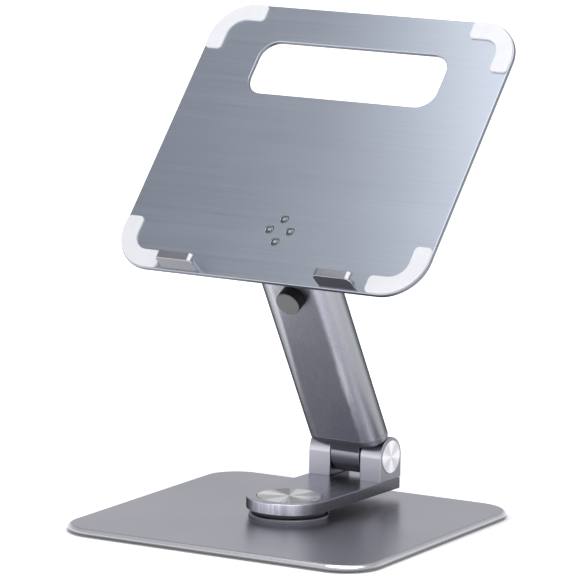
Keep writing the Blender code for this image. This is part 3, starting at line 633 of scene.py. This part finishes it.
for side, s in (("left", -1), ("right", 1)):
    a, b = s * EAR_IN, s * EAR_OUT
    ang = "x" if s > 0 else "-x"
    steps = []
    for f, i in ((0.0, 1.1), (0.08, 0.75), (0.3, 0.4), (0.65, 0.14), (1.1, 0.0)):
        steps.append((a + s * f, i))
    for f, i in ((0.6, 0.0), (0.3, 0.09), (0.09, 0.3), (0.0, 0.6)):
        steps.append((b - s * f, i))
    piece("hinge_ear_%s_fine" % side, loft([[(x, y, z) for y, z in ear_profile(i)] for x, i in steps]),
          M_FOOT, M_EAR, "hinge_ear_" + side,
          cuts=[shift(turn(bore([(PIN_R + 0.3, 5), (PIN_R + 0.3, 17.0), (7.6, 17.0), (7.6, 21.3),
                                 (CAP_R + 0.16, 21.3), (CAP_R + 0.16, 30)], 96), ang), 0, LOW_Y, LOW_Z)], soften=0)
    # the cap is turned about its own Z, which is laid along the hinge axis
    cap = piece("lower_cap_%s_fine" % side, lathe(dished(CAP_R, 21.6, EAR_OUT + 0.2, 0.35, 0.12), 96),
                M_LOW @ Matrix.Rotation(math.radians(90 * s), 4, "Y"), M_CAP, "lower_cap_" + side, soften=0)


# ------------------------------------------------------------ arm
def knuckle_profile(i, seg=60, neck=8.0):
    r = KNUCKLE_R - i
    a0 = math.acos((neck - i) / r)
    a = [math.pi - a0 + (math.pi + 2 * a0) * k / seg for k in range(seg + 1)]
    return [(r * math.cos(q), r * math.sin(q)) for q in a] + [(neck - i, 13.9), (i - neck, 13.9)]


piece("arm_lower_block_fine",
      loft([[(x, y, z) for y, z in knuckle_profile(i)] for x, i in
            ((-KNUCKLE_HALF, 0.5), (-KNUCKLE_HALF + 0.15, 0.15), (-KNUCKLE_HALF + 0.5, 0),
             (KNUCKLE_HALF - 0.5, 0), (KNUCKLE_HALF - 0.15, 0.15), (KNUCKLE_HALF, 0.5))]),
      M_ARM, M_BLOCK, "arm_lower_block",
      adds=[stack(lambda i: stadium(ARM_W, ARM_T, 40, i),
                  [(12.3, 1.35), (12.38, 0.9), (12.62, 0.45), (13.0, 0.14), (13.5, 0.0), (ARM_START - 0.3, 0.0), (ARM_START - 0.12, 0.15)]),
            stack(lambda i: stadium(CAVITY_W, CAVITY_T, 24, i), [(15.5, 0.35), (33.0, 0.35)])],
      cuts=[turn(bore([(PIN_R + 0.3, -1), (PIN_R + 0.3, WASHER_IN), (8.75, WASHER_IN), (8.75, 12)], 64), a) for a in ("x", "-x")]
      + [shift(turn(rod(1.7, 2.9, 12, 32), "y"), s * 8.0, 0, 25.0) for s in (-1, 1)], soften=0)


def arm_ring(z, inset=0.0, seg=40):
    return [(x, y, z) for x, y in stadium(ARM_W, ARM_T, seg, inset)]


half = [(ARM_T / 2 * math.cos(math.pi * k / 48), ARM_T / 2 * math.sin(math.pi * k / 48)) for k in range(49)]
top = loft([[(x, y, z + ARM_LEN) for y, z in half + [(-15, 0), (-15, 20), (15, 20), (15, 0)]] for x in (-30, 30)])
piece("arm_shell_fine",
      loft([arm_ring(ARM_START, 0.14), arm_ring(ARM_START + 0.04, 0.04), arm_ring(ARM_START + 0.14), arm_ring(ARM_LEN + ARM_T / 2)]),
      M_ARM, M_ARM_MAT, "arm_shell",
      cuts=[stack(lambda i: stadium(CAVITY_W, CAVITY_T, 24, i), [(10, 0), (106, 0), (109, 2.5)]), top,
            box(-FORK_HALF, FORK_HALF, -20, 20, ARM_LEN - 9.8, ARM_LEN + 20),
            box(-FORK_HALF, FORK_HALF, -1.5, 20, ARM_LEN - 16.0, ARM_LEN + 20),
            shift(turn(rod(3.2, ARM_T / 2 - 3.6, 20, 40), "-y"), 0, 0, BUMPER_AT)]
      + [shift(turn(bore([(3.3, 5), (3.3, 15.2), (5.9, 15.2), (5.9, 19.4), (7.55, 19.4), (7.55, 30)], 80), a), 0, 0, ARM_LEN)
         for a in ("x", "-x")]
      + [shift(turn(bore([(1.7, 6.0), (1.7, 8.3), (3.1, 9.7), (3.1, 12)], 40), "y"), s * 8.0, 0, 25.0) for s in (-1, 1)],
      soften=0.3, seg=2, angle=35)
h = ARM_T / 2
piece("arm_bumper_fine",
      lathe([(0, 6.9), (2.9, 6.9), (2.9, h + 0.05), (BUMPER_R - 0.25, h + 0.05), (BUMPER_R, h + 0.3), (BUMPER_R, h + BUMPER_H - 0.9),
             (BUMPER_R - 0.26, h + BUMPER_H - 0.26), (BUMPER_R - 0.9, h + BUMPER_H), (0, h + BUMPER_H)], 96),
      M_ARM @ Matrix.Translation((0, 0, BUMPER_AT * MM)) @ Matrix.Rotation(math.radians(90), 4, "X"),
      M_BUMP, "arm_bumper", soften=0.15)
for k, s in enumerate((-1, 1), 1):
    piece("arm_screw_%d_fine" % k, lathe([(0, 3.2), (1.4, 3.2), (1.4, 8.4), (2.8, 9.8), (0, 9.8)], 48),
          M_ARM @ Matrix.Translation((s * 8.0 * MM, 0, 25.0 * MM)) @ Matrix.Rotation(math.radians(-90), 4, "X"),
          M_STEEL, "arm_screw_%d" % k,
          cuts=[loft([[(x, y, z) for x, y in circle(1.15, 6)] for z in (8.6, 11)])], soften=0.08)
for side, s in (("left", -1), ("right", 1)):
    rot = Matrix.Rotation(math.radians(90 * s), 4, "Y")
    piece("lower_friction_washer_%s_fine" % side,
          lathe([(PIN_R + 0.3, WASHER_IN + 0.08), (8.4, WASHER_IN + 0.08), (8.4, EAR_IN - 0.08), (PIN_R + 0.3, EAR_IN - 0.08)], 80),
          M_ARM @ rot, M_NYLON, "lower_friction_washer_" + side, soften=0.12)
    piece("upper_friction_washer_%s_fine" % side,
          lathe([(3.3, 8.7), (8.2, 8.7), (8.2, FORK_HALF - 0.1), (3.3, FORK_HALF - 0.1)], 80),
          M_ARM @ Matrix.Translation((0, 0, ARM_LEN * MM)) @ rot, M_NYLON, "upper_friction_washer_" + side, soften=0.12)
    piece("upper_cap_%s_fine" % side, lathe(dished(7.35, 19.7, 21.2, 0.45, 0.12), 96),
          M_ARM @ Matrix.Translation((0, 0, ARM_LEN * MM)) @ rot, M_CAP, "upper_cap_" + side, soften=0)


# ------------------------------------------------------------ panel
def standing(pts, y):
    return [(x, y, z) for x, z in pts]


def plate_outline(i, seg=32):
    return round_rect(PANEL_W, PANEL_H, PANEL_R, seg, i, 0, T0 + PANEL_H / 2)


def slot_outline(i, seg=24):
    return round_rect(SLOT_W, SLOT_H, SLOT_R, seg, i, 0, T0 + SLOT_AT)


screw_z = T0 + SCREWS_AT
p_screws = ((0, 7.2), (-6.5, 0), (6.5, 0), (0, -7.2))
h_screws = [(s * HOOK_X + x, T0 + HOOK_SCREW) for s in (-1, 1) for x in (-6.0, 6.0)]
piece("panel_plate_fine",
      loft([standing(plate_outline(i), y) for y, i in
            ((FRONT, 0.62), (FRONT + 0.10, 0.38), (FRONT + 0.28, 0.15), (FRONT + 0.55, 0.0), (BACK - 0.3, 0.0), (BACK - 0.09, 0.09), (BACK, 0.3))]),
      M_PANEL, M_PANEL_MAT, "panel_plate",
      cuts=[loft([standing(slot_outline(i), y) for y, i in
                  ((FRONT - 1.0, -1.6), (FRONT + 0.12, -0.36), (FRONT + 0.30, -0.12), (FRONT + 0.55, 0.0), (BACK - 0.3, 0.0), (BACK + 1.7, -2.0))])]
      + [shift(turn(bore([(1.4, PF - 4.2), (1.4, PF - 1.35), (2.75, PF - 0.3), (2.75, PF + 1.8)], 48), "-y"), x, 0, screw_z + z)
         for x, z in p_screws]
      + [shift(turn(bore([(0.9, -PF - 5.8), (0.9, 1.1 - PF), (1.85, 1.9 - PF), (1.85, 5.2 - PF)], 40), "y"), x, 0, z)
         for x, z in h_screws], soften=0, flat_on=True)
piece("panel_bracket_fine", box(-8.6, 8.6, BACK + 0.08, BACK + 3.3, screw_z - 10, screw_z + 10), M_PANEL, M_ARM_MAT, "panel_bracket",
      adds=[turn(lathe([(0, -8.5), (8.4, -8.5), (8.8, -8.1), (8.8, 8.1), (8.4, 8.5), (0, 8.5)], 80), "x"),
            loft([[(x, y, z) for y, z in ((BACK + 2.0, -7.0), (BACK + 2.0, 10.5), (-7.4, 10.5), (-2.0, 8.0), (0.0, 0.0), (-4.0, -5.0))]
                  for x in (-8.3, 8.3)])],
      cuts=[turn(rod(3.3, -12, 12, 64), "x")]
      + [shift(turn(rod(1.4, PF - 5.3, PF - 1.2, 32), "-y"), x, 0, screw_z + z) for x, z in p_screws], soften=0.3, seg=2)
for k, (x, z) in enumerate(p_screws, 1):
    piece("panel_screw_%d_fine" % k,
          lathe([(0, PF - 5.1), (1.1, PF - 5.1), (1.1, PF - 1.6), (2.4, PF - 0.55), (2.4, PF - 0.35), (2.2, PF - 0.15),
                 (1.75, PF + 0.0), (1.0, PF + 0.12), (0, PF + 0.15)], 56),
          M_PANEL @ Matrix.Translation((x * MM, 0, (screw_z + z) * MM)) @ Matrix.Rotation(math.radians(90), 4, "X"),
          M_SCREW, "panel_screw_%d" % k, cuts=[loft([[(a, b, c) for a, b in circle(1.1, 6)] for c in (PF - 0.05, PF + 1)])], soften=0.04)


def hook_plan(i, depth, seg=12, r=3.0):
    hw, rr, y1 = HOOK_W / 2 - i, max(r - i, 0.4), FRONT - depth + i
    pts = [(hw, FRONT - 0.04), (-hw, FRONT - 0.04)]
    for sx, a0 in ((-1, 180), (1, 270)):
        for k in range(seg + 1):
            a = math.radians(a0 + 90.0 * k / seg)
            pts.append((sx * (hw - rr) + rr * math.cos(a), y1 + rr + rr * math.sin(a)))
    return pts


for j, (side, s) in enumerate((("left", -1), ("right", 1))):
    hx = s * HOOK_X
    piece("hook_%s_fine" % side,
          loft([[(x, y, T0 + t) for x, y in hook_plan(i, HOOK_OUT)] for t, i in
                ((0.8, 0.5), (0.95, 0.15), (1.3, 0.0), (HOOK_TOP - 0.6, 0.0), (HOOK_TOP - 0.18, 0.18), (HOOK_TOP, 0.6))]),
          M_PANEL, M_HOOK, "hook_" + side, at=(hx, 0, 0),
          cuts=[box(-20, 20, FRONT - HOOK_OUT + 2.3, FRONT + 5, T0 + 3.0, T0 + 12)]
          + [shift(turn(rod(0.85, -PF - 4, 1.2 - PF, 32), "y"), x, 0, T0 + HOOK_SCREW) for x in (-6.0, 6.0)],
          soften=0.25, seg=2, angle=40)
    piece("hook_pad_%s_fine" % side, box(-9.3, 9.3, FRONT - 8.9, FRONT - 0.4, T0 + 3.05, T0 + 4.1), M_PANEL, M_GREY,
          "hook_pad_" + side, at=(hx, 0, 0), soften=0.35, seg=3)
    for k, x in enumerate((-6.0, 6.0)):
        piece("hook_screw_%d_fine" % (2 * j + k + 1),
              lathe([(0, -PF - 3.7), (0.6, -PF - 3.7), (0.6, 1.35 - PF), (1.5, 2.1 - PF), (1.5, 2.45 - PF), (0, 2.45 - PF)], 40),
              M_PANEL @ Matrix.Translation(((hx + x) * MM, 0, (T0 + HOOK_SCREW) * MM)) @ Matrix.Rotation(math.radians(-90), 4, "X"),
              M_STEEL, "hook_screw_%d" % (2 * j + k + 1), cuts=[loft([[(a, b, c) for a, b in circle(0.75, 6)] for c in (1.6 - PF, 4 - PF)])], soften=0.06)


def corner_outline(i, seg=28, end_seg=10):
    o, w, leg = 0.6 + i, CORNER_BAND + 0.6 - i, CORNER_LEG - i
    ro, ri, re = PANEL_R - o, 10.0 + i, max(2.6 - i, 0.4)
    pts = []

    def arc(cx, cz, r, a0, a1, n):
        for k in range(n + 1):
            a = math.radians(a0 + (a1 - a0) * k / n)
            pts.append((cx + r * math.cos(a), cz + r * math.sin(a)))

    arc(o + ro, o + ro, ro, 180, 270, seg)
    arc(leg - re, o + re, re, 270, 360, end_seg)
    arc(leg - re, w - re, re, 0, 90, end_seg)
    arc(w + ri, w + ri, ri, 270, 180, seg)
    arc(w - re, leg - re, re, 0, 90, end_seg)
    arc(o + re, leg - re, re, 90, 180, end_seg)
    return pts


for name, sx, sz in (("bottom_left", 1, 1), ("bottom_right", -1, 1), ("top_left", 1, -1), ("top_right", -1, -1)):
    x0, z0 = -sx * PANEL_W / 2, (T0 if sz > 0 else T0 + PANEL_H)
    f = FRONT - GAP - CORNER_T
    piece("corner_pad_%s_fine" % name,
          loft([[(x0 + sx * x, y, z0 + sz * z) for x, z in corner_outline(i)] for y, i in
                ((FRONT - 0.02, 0.0), (f + 0.5, 0.0), (f + 0.23, 0.07), (f + 0.06, 0.24), (f, 0.5))]),
          M_PANEL, M_WHITE, "corner_pad_" + name, soften=0, flat_on=True)

# ------------------------------------------------------------ carried-over inner pieces
for n, o in frame["nodes"].items():
    if o.hide_render:
        continue
    o.data.materials.clear()
    o.data.materials.append(M_STEEL)
    o.data.shade_smooth()
    o.data.set_sharp_from_angle(angle=math.radians(32))

# ------------------------------------------------------------ floor, light, camera
def floor_material():
    n = Nodes("floor_white")
    cloud = n.noise(n.coords((1, 1, 1)), 3.0, 2.0, 0.5)
    n.set(color=n.mix(n.span(cloud, 0, 1, 0.3, 0.7), (0.86, 0.86, 0.865), (0.885, 0.885, 0.885)), rough=0.6, spec=0.2)
    # painted light: the table glows by emission, faintly under the object, stronger further out and most in front
    tc = n.new("ShaderNodeTexCoord")
    sep = n.new("ShaderNodeSeparateXYZ")
    n.link(tc.outputs["Object"], sep.inputs["Vector"])
    far = n.math("SQRT", n.math("ADD", n.math("POWER", sep.outputs["X"], 2.0), n.math("POWER", sep.outputs["Y"], 2.0)))
    ox = n.math("MAXIMUM", n.math("SUBTRACT", n.math("ABSOLUTE", sep.outputs["X"]), 0.073), 0.0)
    oy = n.math("MAXIMUM", n.math("SUBTRACT", n.math("ABSOLUTE", sep.outputs["Y"]), 0.069), 0.0)
    off = n.math("SQRT", n.math("ADD", n.math("POWER", ox, 2.0), n.math("POWER", oy, 2.0)))
    glow = n.math("ADD", n.span(far, 0.42, 0.9, 0.14, 0.42), n.span(sep.outputs["Y"], 0.8, 0.0, -0.6, -0.1))
    glow = n.math("MULTIPLY", glow, n.span(off, 0.30, 1.0, 0.021, 0.031))
    n.bsdf.inputs["Emission Color"].default_value = (1, 1, 1, 1)
    n.link(glow, n.bsdf.inputs["Emission Strength"])
    return n.mat


bm = bmesh.new()
S = 9.0
bm.faces.new([bm.verts.new(p) for p in ((-S, -S, 0), (S, -S, 0), (S, S, 0), (-S, S, 0))])
me = bpy.data.meshes.new("floor")
bm.to_mesh(me)
bm.free()
floor = bpy.data.objects.new("floor", me)
scene.collection.objects.link(floor)
me.materials.append(floor_material())


def area(name, loc, aim, size, size_y, power, color=(1, 1, 1)):
    l = bpy.data.lights.new(name, "AREA")
    l.shape, l.size, l.size_y, l.energy, l.color = "RECTANGLE", size, size_y, power, color
    o = bpy.data.objects.new(name, l)
    scene.collection.objects.link(o)
    o.location = loc
    o.rotation_euler = (Vector(loc) - Vector(aim)).to_track_quat("Z", "Y").to_euler()
    return o


# one wide overhead softbox, whose left edge falls across the panel's reflection
area("overhead_softbox", (0.30, -0.28, 0.98), (0.30, -0.18, 0.0), 1.36, 0.95, 9.8, (1.0, 0.99, 0.99))

world = bpy.data.worlds.new("studio")
scene.world = world
world.use_nodes = True
wt = world.node_tree
bg = wt.nodes["Background"]


def wmath(op, a, b):
    n = wt.nodes.new("ShaderNodeMath")
    n.operation = op
    for i, v in enumerate((a, b)):
        if isinstance(v, (int, float)):
            n.inputs[i].default_value = v
        else:
            wt.links.new(v, n.inputs[i])
    return n.outputs[0]


# pale walls near the horizon, brighter in front, under a dimmer ceiling
tc = wt.nodes.new("ShaderNodeTexCoord")
sep = wt.nodes.new("ShaderNodeSeparateXYZ")
ramp = wt.nodes.new("ShaderNodeValToRGB")
wt.links.new(tc.outputs["Generated"], sep.inputs["Vector"])
wt.links.new(sep.outputs["Z"], ramp.inputs["Fac"])
el = ramp.color_ramp.elements
el[0].position, el[0].color = 0.0, (0.92, 0.92, 0.93, 1)
el[1].position, el[1].color = 1.0, (0.46, 0.47, 0.50, 1)
for pos, col in ((0.20, (0.86, 0.86, 0.88)), (0.35, (0.66, 0.66, 0.69)), (0.58, (0.46, 0.47, 0.50))):
    e = el.new(pos)
    e.color = (*col, 1)
wt.links.new(ramp.outputs["Color"], bg.inputs["Color"])
front = wt.nodes.new("ShaderNodeMapRange")
front.inputs["From Min"].default_value, front.inputs["From Max"].default_value = -0.75, 0.0
front.inputs["To Min"].default_value, front.inputs["To Max"].default_value = 0.55, 0.0
wt.links.new(sep.outputs["Y"], front.inputs["Value"])
low_band = wt.nodes.new("ShaderNodeMapRange")
low_band.inputs["From Min"].default_value, low_band.inputs["From Max"].default_value = 0.30, 0.60
low_band.inputs["To Min"].default_value, low_band.inputs["To Max"].default_value = 1.0, 0.0
wt.links.new(sep.outputs["Z"], low_band.inputs["Value"])
wt.links.new(wmath("ADD", 1.0, wmath("MULTIPLY", front.outputs["Result"], low_band.outputs["Result"])), bg.inputs["Strength"])

# camera: long lens, 30 degrees to the object's right and 10 degrees above it
cam_data = bpy.data.cameras.new("camera")
cam = bpy.data.objects.new("camera", cam_data)
scene.collection.objects.link(cam)
YAW_C, EL_C, ROLL_C = (math.radians(v) for v in (29.83, 9.55, 0.84))
TARGET, DIST = Vector((-3.11, 2.87, 128.25)) * MM, 2389.27 * MM
back = Vector((math.sin(YAW_C) * math.cos(EL_C), -math.cos(YAW_C) * math.cos(EL_C), math.sin(EL_C)))
right = Vector((math.cos(YAW_C), math.sin(YAW_C), 0.0))
up_v = back.cross(right)
r_v = right * math.cos(ROLL_C) + up_v * math.sin(ROLL_C)
u_v = up_v * math.cos(ROLL_C) - right * math.sin(ROLL_C)
cam.matrix_world = Matrix.Translation(TARGET + back * DIST) @ Matrix((r_v, u_v, back)).transposed().to_4x4()
cam_data.sensor_width = 36.0
cam_data.lens = 4421.0 / 580.0 * 36.0
cam_data.clip_end = 50.0
scene.camera = cam
scene.view_settings.view_transform = "Standard"
